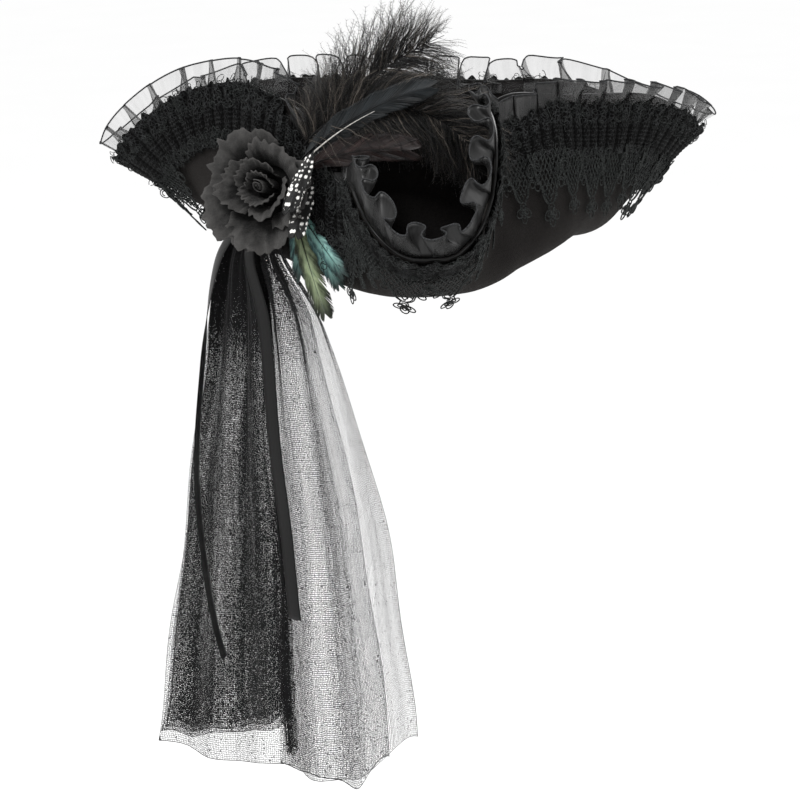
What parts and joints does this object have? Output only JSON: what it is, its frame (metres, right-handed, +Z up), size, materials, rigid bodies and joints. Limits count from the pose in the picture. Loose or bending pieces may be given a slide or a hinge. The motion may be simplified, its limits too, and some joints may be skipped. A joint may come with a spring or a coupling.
{
  "type": "tricorn hat",
  "caption": "Black felt tricorn hat with a low round crown, organza frill, lace edging, fabric rose, mixed feathers, tulle veil and hanging ribbons.",
  "frame": {"origin": "middle of the head opening, level with the brim's root at the front and back", "axes": "-Y to the front corner, +X to the right seen from the front, +Z up"},
  "size_m": [0.4091, 0.3787, 0.4791],
  "materials": {
    "black_felt": "smooth wool felt, soft sheen",
    "black_lace": "venetian lace in matt thread",
    "black_organza": "crisp sheer organza with a dark edge thread",
    "charcoal_velvet": "flocked petals with lighter edges",
    "ostrich_black": "fine long barbs, brownish black",
    "goose_dark": "broad vane, blue black and plum",
    "guinea_spotted": "dark vane with white dots",
    "coque_green": "iridescent teal, olive and gold",
    "black_tulle": "fine hexagonal net",
    "black_satin": "narrow satin ribbon"
  },
  "bodies": {
    "root": {"brim": "black_felt", "coque_1": "coque_green", "coque_2": "coque_green", "coque_3": "coque_green", "coque_4": "coque_green", "corsage_patch": "black_felt", "crown": "black_felt", "goose_blue": "goose_dark", "goose_plum": "goose_dark", "guinea_1": "guinea_spotted", "guinea_2": "guinea_spotted", "guinea_3": "guinea_spotted", "lace_edging": "black_lace", "organza_ruffle": "black_organza", "plume_sweeping": "ostrich_black", "plume_tall": "ostrich_black", "ribbon_front": "black_satin", "ribbon_side": "black_satin", "rose_cup": "charcoal_velvet", "rose_heart": "charcoal_velvet", "rose_petal_01": "charcoal_velvet", "rose_petal_02": "charcoal_velvet", "rose_petal_03": "charcoal_velvet", "rose_petal_04": "charcoal_velvet", "rose_petal_05": "charcoal_velvet", "rose_petal_06": "charcoal_velvet", "rose_petal_07": "charcoal_velvet", "rose_petal_08": "charcoal_velvet", "rose_petal_09": "charcoal_velvet", "rose_petal_10": "charcoal_velvet", "veil_dark": "black_tulle", "veil_pale": "black_tulle"}
  },
  "joints": []
}
